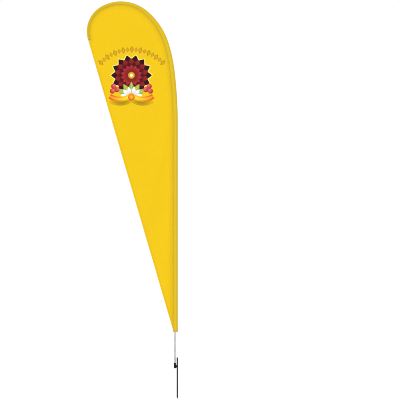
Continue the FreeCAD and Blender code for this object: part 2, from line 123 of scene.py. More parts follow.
# Each ring's turn in half petals, length, width, colours at its middle and tips; first a halo
PETAL_RINGS = (
    (0, 0.214, 0.100, (0.90, 0.80, 0.30), (0.90, 0.76, 0.20)),
    (0, 0.206, 0.086, (0.090, 0.010, 0.010), (0.012, 0.003, 0.004)),
    (1, 0.172, 0.070, (0.040, 0.005, 0.006), (0.26, 0.014, 0.018)),
    (0, 0.140, 0.058, (0.020, 0.004, 0.005), (0.095, 0.007, 0.009)),
    (1, 0.106, 0.044, (0.060, 0.005, 0.007), (0.42, 0.024, 0.030)),
    (0, 0.074, 0.032, (0.16, 0.010, 0.012), (0.22, 0.018, 0.016)),
)
ARCH_LOZENGES, ARCH_RADIUS, ARCH_HALF_ANGLE = 17, 0.43, 46

SKY = 1.01
# Strength, and its width, tilt and turn in degrees
SUNS = (("key", 1.1, 30, 52, -35), ("fill", 0.35, 50, 65, 40), ("back", 1.2, 40, 55, 160))


# ---- the pole's centre line
def arc_point(start, turn, radius, angle):
    centre = start + inward(turn) * radius
    return centre - inward(turn + angle) * radius


def inward(turn):
    """From the centre line towards the fabric, in x and z, where the line has turned that far."""
    return Vector((-math.cos(turn), -math.sin(turn)))


def pieces_of_line():
    """The centre line as (start length, start point, heading, radius or None where straight)."""
    foot = Vector((POLE_X, POLE_FOOT_Z))
    found = [(0.0, foot, 0.0, None)]
    s, point, turn = STRAIGHT_LENGTH, foot + Vector((0, STRAIGHT_LENGTH)), 0.0
    for radius, degrees in ARCS:
        angle = math.radians(degrees)
        found.append((s, point, turn, radius))
        point = arc_point(point, turn, radius, angle)
        s += radius * angle
        turn += angle
    return found, s


LINE, LINE_LENGTH = pieces_of_line()


def at(s):
    """Point on the centre line, in x and z, and its turning angle, s along from the foot."""
    start_s, start, turn, radius = next(p for p in reversed(LINE) if s >= p[0] or p[0] == 0.0)
    if radius is None:
        return start + Vector((0, s)), 0.0
    angle = (s - start_s) / radius
    return arc_point(start, turn, radius, angle), turn + angle


def beside(s, offset):
    point, turn = at(s)
    return point + inward(turn) * offset


def between(value, low_in, high_in, low, high):
    share = min(1.0, max(0.0, (value - low_in) / (high_in - low_in)))
    return low + (high - low) * share


def seam_offset(s):
    return between(s, SLEEVE_TAPER_START, LINE_LENGTH, SLEEVE_IN, SLEEVE_IN_TIP)


def fold_offset(s):
    return between(s, SLEEVE_TAPER_START, LINE_LENGTH, SLEEVE_OUT, SLEEVE_OUT_TIP)


def evenly(low, high, step):
    count = max(1, round((high - low) / step))
    return [low + (high - low) * i / count for i in range(count + 1)]


FREE_LOW = Vector((POLE_X - SLEEVE_IN, FREE_EDGE_LOW_Z))
FREE_HIGH = beside(LINE_LENGTH + PATCH_THICKNESS, -SLEEVE_OUT_TIP)
FREE_ALONG = (FREE_HIGH - FREE_LOW).normalized()
FREE_ACROSS = Vector((FREE_ALONG.y, -FREE_ALONG.x))  # towards the pole


# ---- mesh helpers
def add_object(name, data):
    made = bpy.data.objects.new(name, data)
    scene.collection.objects.link(made)
    return made


def turn_outwards(mesh):
    """Turns a closed mesh's faces over if they point into the cloth."""
    solid = bmesh.new()
    solid.from_mesh(mesh)
    if solid.calc_volume(signed=True) < 0:
        mesh.flip_normals()
    solid.free()


def new_piece(name, points, faces, material, replaces=()):
    mesh = bpy.data.meshes.new(name)
    mesh.from_pydata([tuple(p) for p in points], [], [tuple(f) for f in faces])
    mesh.validate()
    turn_outwards(mesh)
    mesh.materials.append(material)
    mesh.shade_smooth()
    piece = add_object(name, mesh)
    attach(piece, FLAG_BODY)
    if replaces:
        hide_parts(*replaces)
    return piece


def add_uv(piece, coordinates):
    """Stores the cloth's flat-cut coordinates, in metres, a pair for each point."""
    layer = piece.data.uv_layers.new(name="cut")
    loops = np.zeros(len(piece.data.loops), dtype=np.int32)
    piece.data.loops.foreach_get("vertex_index", loops)
    layer.data.foreach_set("uv", np.asarray(coordinates, dtype=np.float32)[loops].ravel())


def add_value(piece, name, values):
    attribute = piece.data.attributes.new(name, "FLOAT", "POINT")
    attribute.data.foreach_set("value", np.asarray(values, dtype=np.float32))


def inside(points, outline):
    """Which of the points lie inside a closed outline."""
    points, outline = np.asarray(points), np.asarray(outline)
    found = np.zeros(len(points), dtype=bool)
    for (x0, z0), (x1, z1) in zip(outline, np.roll(outline, -1, axis=0)):
        if z0 == z1:
            continue
        crosses = (z0 > points[:, 1]) != (z1 > points[:, 1])
        found ^= crosses & (points[:, 0] < (x1 - x0) * (points[:, 1] - z0) / (z1 - z0) + x0)
    return found


def painted_darkening(gap, painted_shade):
    """Painted shade: its full depth where there is no gap, and smoothly less as far as its reach.
    """
    depth, reach = painted_shade
    share = np.clip(np.abs(gap) / reach, 0, 1)
    return depth * (1 - share ** 2 * (3 - 2 * share))


def in_parts(points):
    return np.array_split(points, max(1, len(points) // POINTS_AT_ONCE))


def gap_to(points, line):
    """Distance from each point to the nearest point of a dense line."""
    points, line = np.asarray(points), np.asarray(line)
    return np.concatenate([np.sqrt(((part[:, None] - line[None]) ** 2).sum(2)).min(1)
                           for part in in_parts(points)])


def steps_of(line):
    """The length of each step from one point of a line to the next."""
    return np.linalg.norm(np.diff(np.asarray(line), axis=0), axis=1)


def run_of(line):
    """The way along a line to each of its points."""
    return np.concatenate([[0], np.cumsum(steps_of(line))])


def tube_faces(rings, around, closed_ends=False):
    """Quads between rings of points, each a closed loop."""
    faces = []
    for i in range(0, (rings - 1) * around, around):
        for j in range(around):
            k = (j + 1) % around
            faces.append((i + j, i + k, i + around + k, i + around + j))
    if closed_ends:
        faces.append(tuple(reversed(range(around))))
        faces.append(tuple(range((rings - 1) * around, rings * around)))
    return faces


# ---- the printed emblem: a plain flower on leaves and a ribbon, under an arch
def spoke(centre, angle, radius):
    return centre + Vector((math.cos(angle), math.sin(angle))) * radius


def circle(centre, radius, count):
    return [spoke(centre, 2 * math.pi * i / count, radius) for i in range(count)]


def sideways(line, i, distance):
    """That distance to the left of a line of points, where it passes its point i."""
    ahead = (line[min(i + 1, len(line) - 1)] - line[max(i - 1, 0)]).normalized()
    return Vector((-ahead.y, ahead.x)) * distance


def leaf(base, direction, length, width, blunt=0.5, count=12):
    """A pointed leaf along a direction in degrees; blunt is the share of it where it is widest."""
    along = spoke(Vector((0, 0)), math.radians(direction), 1)
    across = Vector((-along.y, along.x))
    power = math.log(0.5) / math.log(blunt)
    sides = []
    for side, order in ((1, range(count)), (-1, range(count, 0, -1))):
        for i in order:
            share = i / count
            half = width / 2 * math.sin(math.pi * share ** power)
            sides.append(base + along * length * share + across * side * half)
    return sides


def lozenge(centre, long, short, turn):
    return [spoke(centre, math.radians(turn) + math.pi * i / 2, (long, short)[i % 2])
            for i in range(4)]


def band(middle, width):
    """A ribbon of that width round a line of points."""
    left = [point + sideways(middle, i, width / 2) for i, point in enumerate(middle)]
    right = [point - sideways(middle, i, width / 2) for i, point in enumerate(middle)]
    return left + right[::-1]


def arc_line(centre, radius, start, end, count=14):
    return [spoke(centre, math.radians(start + (end - start) * i / count), radius)
            for i in range(count + 1)]


def mirrored(outline):
    return [Vector((2 * EMBLEM.x - p.x, p.y)) for p in reversed(outline)]


def emblem_shapes():
    """(outline, near colour, far colour, where the shading starts, its reach), lowest first."""
    shapes = []

    def add(outline, near, far=None, start=EMBLEM, reach=0.2, both=False):
        shapes.append((outline, near, far or near, start, reach))
        if both:
            other = Vector((2 * EMBLEM.x - start.x, start.y))
            shapes.append((mirrored(outline), near, far or near, other, reach))

    arch_centre = EMBLEM + Vector((0.004, -0.172))
    for i in range(ARCH_LOZENGES):
        angle = math.radians(90 + ARCH_HALF_ANGLE * (1 - i / (ARCH_LOZENGES // 2)))
        middle = spoke(arch_centre, angle, ARCH_RADIUS)
        tall, turn = 0.037 if i % 2 == 0 else 0.027, math.degrees(angle)
        add(lozenge(middle, tall, tall * 0.62, turn), (0.40, 0.205, 0.010), (0.50, 0.27, 0.010),
            middle, tall)
        add(lozenge(middle, tall * 0.5, tall * 0.3, turn), (0.60, 0.36, 0.012))

    for half_petals, length, width, near, far in PETAL_RINGS:
        for i in range(PETALS):
            angle = half_petals * 180 / PETALS + 360 * i / PETALS
            add(leaf(EMBLEM, angle, length, width, 0.62), near, far, EMBLEM, length)
    add(circle(EMBLEM, 0.034, 28), (0.90, 0.60, 0.05), (0.50, 0.20, 0.010), EMBLEM, 0.034)
    add(circle(EMBLEM, 0.014, 16), (0.95, 0.93, 0.88), (0.92, 0.82, 0.50), EMBLEM, 0.014)

    knot = EMBLEM + Vector((0, -0.215))
    shadow = (0.20, 0.115, 0.006)
    ribbon = arc_line(knot + Vector((0.115, 0.135)), 0.195, 232, 300)
    add(band(ribbon, 0.058), shadow, YELLOW, knot + Vector((0.1, -0.02)), 0.15, both=True)
    for direction, length, width in ((28, 0.165, 0.060), (58, 0.150, 0.058)):
        add(leaf(knot, direction, length, width), (0.055, 0.15, 0.018), (0.42, 0.50, 0.075),
            knot, length, both=True)
        add(leaf(knot, direction, length * 0.86, width * 0.16), (0.52, 0.56, 0.12), both=True)
    add(leaf(knot, 90, 0.150, 0.056), (0.045, 0.14, 0.020), (0.36, 0.46, 0.065), knot, 0.15)
    add(leaf(knot, 90, 0.128, 0.010), (0.50, 0.55, 0.12))
    berry = EMBLEM + Vector((0.178, -0.110))
    for step in ((0, 0), (-0.034, -0.034), (0.012, -0.048)):
        middle = berry + Vector(step)
        add(circle(middle, 0.026, 24), (0.80, 0.14, 0.13), (0.30, 0.008, 0.012),
            middle + Vector((-0.008, 0.009)), 0.034, both=True)
    base = knot + Vector((0.012, 0.004))
    for direction in (8, 44, 80):
        add(leaf(base, direction, 0.098, 0.036, 0.6), (0.42, 0.42, 0.46), (0.90, 0.89, 0.88),
            base, 0.09, both=True)
    ribbon = arc_line(knot + Vector((0.115, 0.172)), 0.195, 232, 302)
    for width, near, far in ((0.050, (0.80, 0.50, 0.012), (0.62, 0.055, 0.010)),
                             (0.022, (0.94, 0.66, 0.030), (0.86, 0.22, 0.012))):
        add(band(ribbon, width), near, far, knot + Vector((0.03, 0.0)), 0.19, both=True)
    add(circle(knot + Vector((0, -0.004)), 0.034, 28), (0.90, 0.50, 0.02), (0.55, 0.05, 0.01),
        knot, 0.036)
    return shapes


def print_colours(points, faces, shapes):
    """The printed colour at each corner of each triangle: plain yellow, or the topmost shape's."""
    colours = np.empty((len(faces), 3, 3))
    colours[:] = YELLOW
    middles = points[faces].mean(1)
    for outline, near, far, start, reach in shapes:
        held = inside(middles, outline)
        away = np.sqrt(((points[faces[held]] - np.array(start)) ** 2).sum(2)) / reach
        share = np.clip(away, 0, 1)[..., None]
        colours[held] = np.array(near) * (1 - share) + np.array(far) * share
    return colours


# ---- the flat panel
def panel_edge():
    """The panel's outline: up the seam and round the head, then down the free edge."""
    tuck, tongue = 0.002, 0.007  # under the sleeve's seam, and down inside its mouth band
    seam = [beside(s, seam_offset(s) - tuck)
            for s in evenly(FREE_EDGE_LOW_Z - POLE_FOOT_Z - tongue, LINE_LENGTH, LATTICE)]
    inset = FREE_ACROSS * CLOTH
    length = (FREE_HIGH - FREE_LOW).length
    free = [FREE_HIGH + inset - FREE_ALONG * d for d in evenly(0, length, LATTICE)]
    return seam, free


def lattice(low, high, step):
    """Points of a triangular grid that covers a box."""
    rows = math.ceil((high[1] - low[1]) / (step * math.sqrt(3) / 2))
    columns = math.ceil((high[0] - low[0]) / step)
    return np.array([(low[0] + (column + 0.5 * (row % 2)) * step,
                      low[1] + row * step * math.sqrt(3) / 2)
                     for row in range(rows + 1) for column in range(columns + 1)])


def triangulated(edge, step, shapes=()):
    """Points and triangles that fill the outline; the shapes' outlines are edges of the mesh."""
    outline = np.array(edge)
    spread = lattice(outline.min(0), outline.max(0), step)
    if shapes:
        reach = np.array([0.40, 0.34])  # half the size of the finer lattice
        centre = np.array(EMBLEM) + np.array([0, -0.02])
        spread = spread[(np.abs(spread - centre) > reach).any(1)]
        spread = np.vstack([spread, lattice(centre - reach, centre + reach, PRINT_LATTICE)])
    spread = spread[inside(spread, outline)]
    spread = spread[gap_to(spread, outline) > 0.55 * step]
    points = [Vector(p) for p in np.vstack([outline, spread])]
    count = len(outline)
    edges = [(i, (i + 1) % count) for i in range(count)]
    for shape in shapes:
        first = len(points)
        points += shape[0]
        edges += [(first + i, first + (i + 1) % len(shape[0])) for i in range(len(shape[0]))]
    found = delaunay_2d_cdt(points, edges, [], 0, 1e-6, False)
    points = np.array([tuple(p) for p in found[0]])
    faces = np.array([f for f in found[2] if len(f) == 3])
    faces = faces[inside(points[faces].mean(1), outline)]
    kept = np.unique(faces)
    index = np.full(len(points), -1)
    index[kept] = np.arange(len(kept))
    return points[kept], index[faces]


def boundary_edges(faces):
    """Directed edges that only one triangle has."""
    directed = np.vstack([faces[:, [0, 1]], faces[:, [1, 2]], faces[:, [2, 0]]])
    known = set(map(tuple, directed.tolist()))
    return [(a, b) for a, b in known if (b, a) not in known]


def upward(points, faces):
    """Triangles turned so that, seen from -Y, they are anticlockwise."""
    a, b, c = points[faces[:, 0]], points[faces[:, 1]], points[faces[:, 2]]
    area = (b[:, 0] - a[:, 0]) * (c[:, 1] - a[:, 1]) - (c[:, 0] - a[:, 0]) * (b[:, 1] - a[:, 1])
    faces = faces.copy()
    faces[area < 0] = faces[area < 0][:, ::-1]
    return faces[np.abs(area) > 1e-12]


# ---- ripples, by cloth simulation
def simulated_ripple():
    """How far the slack panel settles out of its plane, as (places, distances)."""
    seam, free = panel_edge()
    points, faces = triangulated([*seam[::2], seam[-1], *free[::2], free[-1]], SIM_LATTICE)
    pinned = gap_to(points, seam) < SIM_LATTICE * 0.3
    pinned |= gap_to(points, [FREE_LOW, FREE_HIGH]) < SIM_LATTICE
    x, z = points[:, 0], points[:, 1]
    start = 0.0015 * (np.sin(9.0 * x + 3.1 * z) + np.sin(4.3 * z - 6.0 * x + 1.0)
                      + np.sin(17.0 * x - 2.2 * z + 2.0))
    start[pinned] = 0.0
    mesh = bpy.data.meshes.new("cloth_sim")
    mesh.from_pydata(np.column_stack([x, start, z]).tolist(), [], faces.tolist())
    cloth = add_object("cloth_sim", mesh)
    cloth.vertex_groups.new(name="pin").add(np.flatnonzero(pinned).tolist(), 1.0, "REPLACE")
    settings = cloth.modifiers.new("cloth", "CLOTH").settings
    for key, value in SIM_CLOTH.items():
        setattr(settings, key, value)
    for step in range(SIM_STEPS):
        scene.frame_set(step + 1)
    settled = cloth.evaluated_get(bpy.context.evaluated_depsgraph_get()).data
    moved = np.array([v.co.y for v in settled.vertices])
    scene.frame_set(1)
    bpy.data.objects.remove(cloth)
    return points, moved


RIPPLE = simulated_ripple()
SEAM_LINE = np.array([beside(s, seam_offset(s)) for s in evenly(MOUTH_S, LINE_LENGTH, LINE_STEP)])


def ripple_at(points):
    """How far out of its plane the panel stands there, from the simulation smoothed."""
    points = np.asarray(points, dtype=float)
    if RIPPLE is None:
        return np.zeros(len(points))
    places, moved = RIPPLE
    found = []
    for part in in_parts(points):
        weight = np.exp(-((part[:, None] - places[None]) ** 2).sum(2) / (2 * RIPPLE_REACH ** 2))
        found.append((weight @ moved) / np.maximum(weight.sum(1), 1e-12))
    height = RIPPLE_CAP * np.tanh(np.concatenate(found) / RIPPLE_EASE)
    return height * np.clip(gap_to(points, SEAM_LINE) / RIPPLE_FADE, 0, 1)


def cloth_layer(name, material, node, points, faces, height, middle, colours=None):
    """A closed sheet: two skins half a cloth's thickness either side of its middle, and a rim."""
    count = len(points)
    skins = [np.column_stack([points[:, 0], height + middle + side * CLOTH / 2, points[:, 1]])
             for side in (-1, 1)]
    all_faces = faces.tolist() + (faces[:, ::-1] + count).tolist()
    all_faces += [(b, a, a + count, b + count) for a, b in boundary_edges(faces)]
    piece = new_piece(name, np.vstack(skins), all_faces, material, [node])
    add_uv(piece, np.vstack([points, points]))
    # Painted shade: the colour is darkened beside the seam, where the sleeve's shade falls on the
    # panel
    painted_shade = 1 - painted_darkening(gap_to(points, SEAM_LINE), PANEL_PAINTED_SHADE)
    add_value(piece, "painted_shade", np.concatenate([painted_shade, painted_shade]))
    if colours is not None:
        attribute = piece.data.attributes.new("print", "FLOAT_COLOR", "CORNER")
        values = np.ones((len(piece.data.loops), 4), dtype=np.float32)
        values[:, :3] = YELLOW
        corners = np.vstack([colours.reshape(-1, 3), colours[:, ::-1].reshape(-1, 3)])
        values[:len(corners), :3] = corners
        attribute.data.foreach_set("color", values.ravel())
    return piece


def make_panels():
    """The printed front and back and the plain liner between them, cut to one outline."""
    seam, free = panel_edge()
    edge = [*seam, *free]
    shapes = emblem_shapes()
    points, faces = triangulated(edge, LATTICE, shapes)
    faces = upward(points, faces)
    height = ripple_at(points)
    colours = print_colours(points, faces, shapes)
    pieces = [cloth_layer(side + "_cloth", PRINTED_KNIT, side + "_panel", points,
                          faces, height, LAYER_Y[side], colours) for side in ("front", "back")]
    points, faces = triangulated(edge, LATTICE)
    faces = upward(points, faces)
    pieces.append(cloth_layer("liner_cloth", LINER, "blockout_liner", points,
                              faces, ripple_at(points), LAYER_Y["liner"]))


# ---- the sleeve
def pole_radius(s):
    """Outer radius of what the sleeve holds at s, each size one sleeve step longer than it is."""
    for end, radius in POLE_STEPS:
        if s < end + SLEEVE_STEP:
            return radius
    if s > LINE_LENGTH - TIP_CAP_LENGTH - SLEEVE_STEP:
        return TIP_CAP_R
    taper_start, full = POLE_STEPS[-1]
    return between(s, taper_start, LINE_LENGTH, full, POLE_TIP_R)


def ridge_height(s):
    """Half the sleeve's thickness over the pole, eased over each joint in the pole."""
    steps = [pole_radius(min(s + shift, LINE_LENGTH)) for shift in (-0.06, -0.03, 0, 0.03, 0.06)]
    return max(pole_radius(s), sum(steps) / len(steps)) + RIDGE_ROOM


def lap_width(s):
    """The sleeve's edge laps over the panel, less where the panel is narrow."""
    return between(s, MOUTH_S + 0.02, MOUTH_S + 0.07, LEAST_LAP, LAP_WIDTH)


def hem_width(d):
    """The hem's width, d along the free edge from its low end, where it runs under the sleeve."""
    lap = lap_width(FREE_EDGE_LOW_Z - POLE_FOOT_Z + d)
    room = d * abs(FREE_ALONG.x / FREE_ALONG.y) - lap + 0.0005
    return min(HEM_WIDTH, max(LEAST_HEM, room))


def sleeve_painted_shade(s, w):
    """Painted shade: the sleeve's colour is darker in the valley at its seam, and towards its outer
    fold.
    """
    gap = w - seam_offset(s)
    dip = painted_darkening(gap, VALLEY_PAINTED_SHADE if gap < 0 else LAP_PAINTED_SHADE)
    return float(1 - dip - painted_darkening(w + fold_offset(s), FOLD_PAINTED_SHADE))


def crease(s, w, side):
    """Small wrinkles in the sleeve's skin, in metres."""
    slow = (0.0007 * math.sin(21 * s + 90 * w * side)
            + 0.0005 * math.sin(47 * s - 130 * w + 2 * side))
    _, turn = at(s)
    bend = min(1.0, turn / 1.2)
    pucker = 0.0007 * bend * math.sin(2 * math.pi * s / 0.024 + 3 * math.sin(9 * s) + side)
    near_seam = max(0.0, w / SLEEVE_IN)
    return slow + pucker * near_seam ** 2


def sleeve_profile(s, grow=0.0, lap=True):
    """The sleeve's skin at s, from its front edge round the fold to its back edge, as (w, y)."""
    seam, fold, ridge = seam_offset(s), fold_offset(s), ridge_height(s)
    half = [(seam + lap_width(s) * share, ON_PANEL) for share in (1, 0.5)] if lap else []
    for i in range(SLEEVE_SIDE):
        share = math.cos(math.pi * (i + 0.5) / SLEEVE_SIDE)
        reach, low = (seam, ON_PANEL) if share > 0 else (fold, FOLD_HALF)
        lift = (1 - abs(share) ** 1.7) ** 0.8
        half.append((share * reach, low + (ridge - low) * lift))
    room = pole_radius(s) + CLOTH + SKIN_ROOM

    def skin(side):
        for w, y in half:
            loose = y + crease(s, w, side) * between(y, ON_PANEL, ON_PANEL + WRINKLE_FADE, 0.0, 1.0)
            yield w, side * (max(loose, math.sqrt(max(0.0, room ** 2 - w ** 2))) + grow)

    return [*skin(-1), (-fold - grow, 0.0), *reversed(list(skin(1)))]


def offset_inwards(profile, distance):
    """The same open line moved to its right by that distance."""
    line = np.array(profile)
    ahead = np.gradient(line, axis=0)
    ahead /= np.maximum(np.linalg.norm(ahead, axis=1), 1e-12)[:, None]
    return line + np.column_stack([ahead[:, 1], -ahead[:, 0]]) * distance


def placed(profile, s):
    point, turn = at(s)
    way = inward(turn)
    return [(point.x + way.x * w, y, point.y + way.y * w) for w, y in profile]


def strip_piece(name, profiles, cut, material, node):
    """A closed strip of cloth from its outer and inner profile at each station."""
    points = [p for outer, inner in profiles for p in [*outer, *inner[::-1]]]
    width = len(profiles[0][0])
    around = 2 * width
    faces = tube_faces(len(profiles), around)
    last = (len(profiles) - 1) * around
    for first, flip in ((0, False), (last, True)):
        for j in range(width - 1):
            quad = (first + j, first + around - 1 - j, first + around - 2 - j, first + j + 1)
            faces.append(quad[::-1] if flip else quad)
    piece = new_piece(name, points, faces, material, [node])
    add_uv(piece, cut)
    return piece


def cut_rows(profiles, stations):
    """Flat-cut coordinates of a strip: the way across each outer profile, and the station."""
    rows = []
    for (outer, _), s in zip(profiles, stations):
        across = run_of(outer)
        rows += [(a, s) for a in across] + [(a, s) for a in across[::-1]]
    return rows


def settle_on_panel(points):
    """Moves points that lie on the panel by its ripple."""
    points = np.array(points)
    points[:, 1] += ripple_at(points[:, [0, 2]])
    return points


def make_sleeve():
    stations = evenly(MOUTH_S, LINE_LENGTH, SLEEVE_STEP)
    profiles = []
    for s in stations:
        outer = sleeve_profile(s)
        inner = offset_inwards(outer, CLOTH).tolist()
        profiles.append((np.array(placed(outer, s)), np.array(placed(inner, s))))
    for skin in (0, 1):
        for j in (0, 1, -2, -1):
            moved = settle_on_panel([pair[skin][j] for pair in profiles])
            for pair, point in zip(profiles, moved):
                pair[skin][j] = point
    piece = strip_piece("sleeve_cloth", profiles, cut_rows(profiles, stations), SLEEVE_KNIT,
                        "pole_sleeve")
    # Painted shade on the sleeve, stored on its mesh for its material
    painted_shades = []
    for s in stations:
        row = [sleeve_painted_shade(s, w) for w, _ in sleeve_profile(s)]
        painted_shades += row + row[::-1]
    add_value(piece, "painted_shade", painted_shades)
    width = float(steps_of(profiles[0][0]).sum())


# ---- hem, mouth band and tip patch
def make_edge_hem():
    """A strip of cloth folded over the panel's free edge and stitched down along both sides."""
    crown = -ON_PANEL - 0.0002
    across = [(HEM_WIDTH, -ON_PANEL), (HEM_WIDTH * 0.6, crown), (HEM_WIDTH * 0.2, crown),
              (0.0002, -ON_PANEL), (-0.0005, -ON_PANEL * 0.7), (-0.0008, 0.0)]
    outer = across + [(c, -y) for c, y in across[-2::-1]]
    inner = offset_inwards(outer, CLOTH).tolist()
    stations = evenly(-0.0045, (FREE_HIGH - FREE_LOW).length + 0.0008, LINE_STEP)
    profiles = []
    for d in stations:
        narrow, thin = hem_width(d) / HEM_WIDTH, between(d, 0.001, 0.010, 0.6, 1.0)
        base = FREE_LOW + FREE_ALONG * d
        pair = []
        for profile in (outer, inner):
            spots = [(base + FREE_ACROSS * (c * narrow if c > 0 else c), y) for c, y in profile]
            pair.append(settle_on_panel([(p.x, y * thin, p.y) for p, y in spots]))
        profiles.append(tuple(pair))
    piece = strip_piece("hem_cloth", profiles, cut_rows(profiles, stations), HEM_KNIT,
                        "edge_hem")
    width = float(steps_of(outer).sum())


def closed_profile(s, grow):
    """The sleeve's outline at s as a closed loop, grown outwards."""
    loop = sleeve_profile(s, grow, lap=False)
    return loop + [(seam_offset(s) + 0.0012 + grow, 0.0)]


def shrunk(profile, share):
    middle = sum(w for w, _ in profile) / len(profile)
    return [(middle + (w - middle) * share, y * share) for w, y in profile]


def girth_of(loop):
    """The shorter way round a closed loop to each of its points, from the first."""
    way = run_of([*loop, loop[0]])
    return np.minimum(way[:-1], way[-1] - way[:-1]).tolist()


def make_mouth_band():
    """A strip folded in two along its length and sewn round the sleeve's mouth, fold downwards."""
    low, high, gap, skin = MOUTH_S, MOUTH_S + MOUTH_BAND_HEIGHT, 0.00005, 0.0002
    bend = 2 * CLOTH + gap
    out, inside_ply, outside_ply = skin + bend, skin + CLOTH, skin + CLOTH + gap
    round_off, middle = low + 0.0006, low + 0.009
    section = [(high, out), (low + 0.012, out + 0.0001), (low + 0.006, out + 0.0001),
               (round_off, out), (low, skin + bend * 0.75), (low, skin + bend * 0.25),
               (round_off, skin), (middle, skin), (high, skin), (high, inside_ply),
               (middle, inside_ply), (low + CLOTH, inside_ply), (low + CLOTH, outside_ply),
               (middle, outside_ply), (high, outside_ply)]
    points = [p for s, grow in section for p in placed(closed_profile(s, grow), s)]
    around = len(points) // len(section)
    faces = tube_faces(len(section), around)
    last = (len(section) - 1) * around
    faces += [(last + j, last + (j + 1) % around, (j + 1) % around, j) for j in range(around)]
    piece = new_piece("mouth_band_cloth", points, faces, BAND_KNIT, ["mouth_hem_band"])
    girth = girth_of(points[:around])
    add_uv(piece, [(way, s) for s, _ in section for way in girth])


def make_tip_patch():
    """A folded patch sewn over the sleeve's end, which the pole's tip pushes against."""
    start, end, skin, out = LINE_LENGTH - TIP_PATCH_LENGTH, LINE_LENGTH, 0.0003, 0.0012
    rings = [placed(shrunk(closed_profile(end, skin), k), end) for k in (0.05, 0.6)]
    rings += [placed(closed_profile(s, skin), s) for s in (end, start)]
    rings += [placed(closed_profile(s, out), s) for s in (start + 0.0003, start + 0.013, end)]
    rings += [placed(shrunk(closed_profile(end, out), k), end + PATCH_THICKNESS)
              for k in (0.93, 0.6, 0.05)]
    around = len(rings[0])
    points = [p for ring in rings for p in ring]
    faces = tube_faces(len(rings), around, closed_ends=True)
    piece = new_piece("tip_patch_cloth", points, faces, BAND_KNIT, ["tip_patch"])
    girth = girth_of(rings[6])
    run = (0.008, 0.004, 0, end - start, end - start, end - start - 0.013, 0, 0.0015, 0.004, 0.008)
    add_uv(piece, [(way, s) for s in run for way in girth])


# ---- stitching
def stitch_mesh(name, rows):
    """Short arched lengths of thread. Each row is (points, normals), a dense line on the cloth."""
    vertices, faces = [], []
    for line, normals in rows:
        line, normals = np.asarray(line), np.asarray(normals)
        along = run_of(line)

        def on(track, way):
            return np.array([np.interp(way, along, track[:, i]) for i in range(3)])

        for middle in np.arange(STITCH_PITCH / 2, along[-1], STITCH_PITCH):
            ends = [on(line, middle + k * STITCH_LENGTH / 2) for k in (-1, -0.45, 0.45, 1)]
            normal = on(normals, middle)
            beam = np.cross(normal, ends[3] - ends[0])
            beam *= THREAD / 2 / max(np.linalg.norm(beam), 1e-12)
            first = len(vertices)
            vertices.append(ends[0] - normal * THREAD * 0.3)
            for place in ends[1:3]:
                vertices += [place + beam, place + normal * THREAD * 0.6, place - beam,
                             place - normal * THREAD * 0.4]
            vertices.append(ends[3] - normal * THREAD * 0.3)
            for j in range(4):
                k = (j + 1) % 4
                faces.append((first, first + 1 + j, first + 1 + k))
                faces.append((first + 1 + j, first + 5 + j, first + 5 + k, first + 1 + k))
                faces.append((first + 9, first + 5 + k, first + 5 + j))
    return new_piece(name, vertices, faces, THREAD_FINISH)


def make_stitches():
    stations = evenly(MOUTH_S + 0.022, LINE_LENGTH - 0.005, STITCH_ROW_STEP)
    rows = []
    for side in (-1, 1):
        for inset in (0.2, 0.78):
            line = [beside(s, seam_offset(s) + lap_width(s) * inset) for s in stations]
            line = settle_on_panel([(p.x, side * ON_PANEL, p.y) for p in line])
            rows.append((line, [(0, side, 0)] * len(line)))
    stitch_mesh("seam_stitches", rows)

    rows = []
    length = (FREE_HIGH - FREE_LOW).length
    for side in (-1, 1):
        line = [FREE_LOW + FREE_ALONG * d + FREE_ACROSS * (hem_width(d) - 0.0022)
                for d in evenly(0.030, length - 0.006, STITCH_ROW_STEP)]
        line = settle_on_panel([(p.x, side * (ON_PANEL + 0.0001), p.y) for p in line])
        rows.append((line, [(0, side, 0)] * len(line)))
    stitch_mesh("hem_stitches", rows)

    stitch_mesh("mouth_stitches", [ring_row(MOUTH_S + d, 0.0013) for d in (0.0035, 0.0145)])
    stitch_mesh("patch_stitches", [ring_row(LINE_LENGTH - d, 0.0012) for d in (0.0225, 0.004)])


def ring_row(s, grow):
    """A row of stitches round the sleeve at s."""
    loop = np.array(placed(closed_profile(s, grow), s))
    middle = loop.mean(0)
    loop = np.vstack([loop, loop[:1]])
    ahead = np.gradient(loop, axis=0)
    _, turn = at(s)
    heading = np.array([-math.sin(turn), 0, math.cos(turn)])
    normals = np.cross(ahead, heading)
    normals /= np.linalg.norm(normals, axis=1)[:, None]
    outward = ((loop - middle) * normals).sum(1)
    normals *= np.sign(outward)[:, None]
    return loop, normals


# ---- tension strap
def make_strap():
    """Webbing that loops through the hook's bar and runs up inside the sleeve."""
    low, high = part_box("tension_strap")
    x, half = (low.x + high.x) / 2, (high.y - low.y) / 2
    bar_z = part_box("strap_hook")[1].z - 0.0026
    wrap, ply = 0.0019, 0.0009
    path = [Vector((x + wrap, high.z)), Vector((x + wrap * 0.7, high.z - 0.03)),
            Vector((x + wrap * 0.55, bar_z + 0.03)), Vector((x + wrap, bar_z + 0.006))]
    turns = np.linspace(0, -math.pi, 9)
    path += [Vector((x + wrap * math.cos(a), bar_z + wrap * math.sin(a))) for a in turns]
    path += [Vector((x - wrap, bar_z + 0.006)), Vector((x - wrap * 0.55, bar_z + 0.026)),
             Vector((x - wrap * 0.5, bar_z + 0.034))]
    points, cut, run = [], [], 0.0
    for i, place in enumerate(path):
        across = sideways(path, i, ply / 2)
        run += (place - path[max(i - 1, 0)]).length
        for side, y in ((1, -half), (1, half), (-1, half), (-1, -half)):
            corner = place + across * side
            points.append((corner.x, y, corner.y))
            cut.append((y + half, run))
    piece = new_piece("strap_webbing", points, tube_faces(len(path), 4, closed_ends=True), WEBBING,
                      ["tension_strap"])
    add_uv(piece, cut)
    piece.data.set_sharp_from_angle(angle=math.radians(50))


